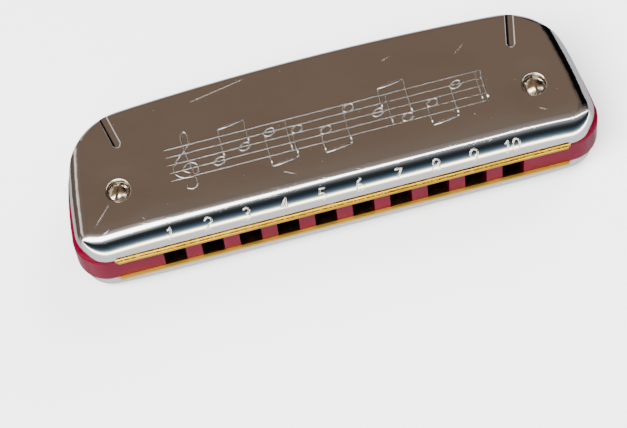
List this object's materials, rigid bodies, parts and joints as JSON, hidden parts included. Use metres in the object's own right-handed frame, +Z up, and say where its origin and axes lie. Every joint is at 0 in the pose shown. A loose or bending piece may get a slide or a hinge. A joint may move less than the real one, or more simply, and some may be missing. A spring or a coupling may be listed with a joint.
{
  "type": "diatonic harmonica",
  "caption": "Pocket harmonica: plastic comb with a row of square holes between brass reed plates, under two polished steel covers open at the rear.",
  "frame": {"origin": "bottom centre of the overall box, where the lower cover rests", "axes": "+X along the row of holes towards the high notes, the mouthpiece faces -Y, +Z up"},
  "size_m": [0.1046, 0.031, 0.02],
  "materials": {
    "comb_plastic": "glossy dark red, moulded",
    "cover_steel": "polished steel with fine scratches",
    "plate_brass": "bright rolled brass",
    "reed_brass": "fine brushed brass",
    "fastener_steel": "nickel-plated steel"
  },
  "bodies": {
    "harmonica": {"comb": "comb_plastic", "blow_reed_plate": "plate_brass", "draw_reed_plate": "plate_brass", "upper_cover": "cover_steel", "lower_cover": "cover_steel", "cover_screws": "fastener_steel", "cover_nuts": "fastener_steel", "blow_plate_screws": "fastener_steel", "draw_plate_screws": "fastener_steel", "blow_reed_roots": "reed_brass", "draw_reed_roots": "reed_brass", "blow_reed_rivets": "reed_brass", "draw_reed_rivets": "reed_brass"},
    "blow_reed_01": {"blow_reed_01": "reed_brass"},
    "blow_reed_02": {"blow_reed_02": "reed_brass"},
    "blow_reed_03": {"blow_reed_03": "reed_brass"},
    "blow_reed_04": {"blow_reed_04": "reed_brass"},
    "blow_reed_05": {"blow_reed_05": "reed_brass"},
    "blow_reed_06": {"blow_reed_06": "reed_brass"},
    "blow_reed_07": {"blow_reed_07": "reed_brass"},
    "blow_reed_08": {"blow_reed_08": "reed_brass"},
    "blow_reed_09": {"blow_reed_09": "reed_brass"},
    "blow_reed_10": {"blow_reed_10": "reed_brass"},
    "draw_reed_01": {"draw_reed_01": "reed_brass"},
    "draw_reed_02": {"draw_reed_02": "reed_brass"},
    "draw_reed_03": {"draw_reed_03": "reed_brass"},
    "draw_reed_04": {"draw_reed_04": "reed_brass"},
    "draw_reed_05": {"draw_reed_05": "reed_brass"},
    "draw_reed_06": {"draw_reed_06": "reed_brass"},
    "draw_reed_07": {"draw_reed_07": "reed_brass"},
    "draw_reed_08": {"draw_reed_08": "reed_brass"},
    "draw_reed_09": {"draw_reed_09": "reed_brass"},
    "draw_reed_10": {"draw_reed_10": "reed_brass"}
  },
  "joints": [
    {"name": "blow_reed_01_flex", "type": "hinge", "parent": "harmonica", "child": "blow_reed_01", "pos_m": [-0.03375, 0.0035, 0.01307], "axis": [-1, 0, 0], "range_deg": [-3.33, 3.33], "stiffness_Nm_per_rad": 0.01497},
    {"name": "blow_reed_02_flex", "type": "hinge", "parent": "harmonica", "child": "blow_reed_02", "pos_m": [-0.02625, 0.00283, 0.01307], "axis": [-1, 0, 0], "range_deg": [-3.22, 3.22], "stiffness_Nm_per_rad": 0.02082},
    {"name": "blow_reed_03_flex", "type": "hinge", "parent": "harmonica", "child": "blow_reed_03", "pos_m": [-0.01875, 0.00217, 0.01307], "axis": [-1, 0, 0], "range_deg": [-3.1, 3.1], "stiffness_Nm_per_rad": 0.02566},
    {"name": "blow_reed_04_flex", "type": "hinge", "parent": "harmonica", "child": "blow_reed_04", "pos_m": [-0.01125, 0.0015, 0.01307], "axis": [-1, 0, 0], "range_deg": [-2.97, 2.97], "stiffness_Nm_per_rad": 0.03957},
    {"name": "blow_reed_05_flex", "type": "hinge", "parent": "harmonica", "child": "blow_reed_05", "pos_m": [-0.00375, 0.00083, 0.01307], "axis": [-1, 0, 0], "range_deg": [-2.83, 2.83], "stiffness_Nm_per_rad": 0.05395},
    {"name": "blow_reed_06_flex", "type": "hinge", "parent": "harmonica", "child": "blow_reed_06", "pos_m": [0.00375, 0.00017, 0.01307], "axis": [-1, 0, 0], "range_deg": [-2.67, 2.67], "stiffness_Nm_per_rad": 0.06501},
    {"name": "blow_reed_07_flex", "type": "hinge", "parent": "harmonica", "child": "blow_reed_07", "pos_m": [0.01125, -0.0005, 0.01307], "axis": [-1, 0, 0], "range_deg": [-2.49, 2.49], "stiffness_Nm_per_rad": 0.09781},
    {"name": "blow_reed_08_flex", "type": "hinge", "parent": "harmonica", "child": "blow_reed_08", "pos_m": [0.01875, -0.00117, 0.01307], "axis": [-1, 0, 0], "range_deg": [-2.29, 2.29], "stiffness_Nm_per_rad": 0.1298},
    {"name": "blow_reed_09_flex", "type": "hinge", "parent": "harmonica", "child": "blow_reed_09", "pos_m": [0.02625, -0.00183, 0.01307], "axis": [-1, 0, 0], "range_deg": [-2.07, 2.07], "stiffness_Nm_per_rad": 0.15172},
    {"name": "blow_reed_10_flex", "type": "hinge", "parent": "harmonica", "child": "blow_reed_10", "pos_m": [0.03375, -0.0025, 0.01307], "axis": [-1, 0, 0], "range_deg": [-1.81, 1.81], "stiffness_Nm_per_rad": 0.22056},
    {"name": "draw_reed_01_flex", "type": "hinge", "parent": "harmonica", "child": "draw_reed_01", "pos_m": [-0.03375, -0.0105, 0.00577], "axis": [1, 0, 0], "range_deg": [-3.33, 3.33], "stiffness_Nm_per_rad": 0.01886},
    {"name": "draw_reed_02_flex", "type": "hinge", "parent": "harmonica", "child": "draw_reed_02", "pos_m": [-0.02625, -0.0105, 0.00577], "axis": [1, 0, 0], "range_deg": [-3.22, 3.22], "stiffness_Nm_per_rad": 0.02945},
    {"name": "draw_reed_03_flex", "type": "hinge", "parent": "harmonica", "child": "draw_reed_03", "pos_m": [-0.01875, -0.0105, 0.00577], "axis": [1, 0, 0], "range_deg": [-3.1, 3.1], "stiffness_Nm_per_rad": 0.04073},
    {"name": "draw_reed_04_flex", "type": "hinge", "parent": "harmonica", "child": "draw_reed_04", "pos_m": [-0.01125, -0.0105, 0.00577], "axis": [1, 0, 0], "range_deg": [-2.97, 2.97], "stiffness_Nm_per_rad": 0.04984},
    {"name": "draw_reed_05_flex", "type": "hinge", "parent": "harmonica", "child": "draw_reed_05", "pos_m": [-0.00375, -0.0105, 0.00577], "axis": [1, 0, 0], "range_deg": [-2.83, 2.83], "stiffness_Nm_per_rad": 0.06056},
    {"name": "draw_reed_06_flex", "type": "hinge", "parent": "harmonica", "child": "draw_reed_06", "pos_m": [0.00375, -0.0105, 0.00577], "axis": [1, 0, 0], "range_deg": [-2.67, 2.67], "stiffness_Nm_per_rad": 0.0819},
    {"name": "draw_reed_07_flex", "type": "hinge", "parent": "harmonica", "child": "draw_reed_07", "pos_m": [0.01125, -0.0105, 0.00577], "axis": [1, 0, 0], "range_deg": [-2.49, 2.49], "stiffness_Nm_per_rad": 0.08715},
    {"name": "draw_reed_08_flex", "type": "hinge", "parent": "harmonica", "child": "draw_reed_08", "pos_m": [0.01875, -0.0105, 0.00577], "axis": [1, 0, 0], "range_deg": [-2.29, 2.29], "stiffness_Nm_per_rad": 0.10303},
    {"name": "draw_reed_09_flex", "type": "hinge", "parent": "harmonica", "child": "draw_reed_09", "pos_m": [0.02625, -0.0105, 0.00577], "axis": [1, 0, 0], "range_deg": [-2.07, 2.07], "stiffness_Nm_per_rad": 0.12042},
    {"name": "draw_reed_10_flex", "type": "hinge", "parent": "harmonica", "child": "draw_reed_10", "pos_m": [0.03375, -0.0105, 0.00577], "axis": [1, 0, 0], "range_deg": [-1.81, 1.81], "stiffness_Nm_per_rad": 0.15596}
  ]
}
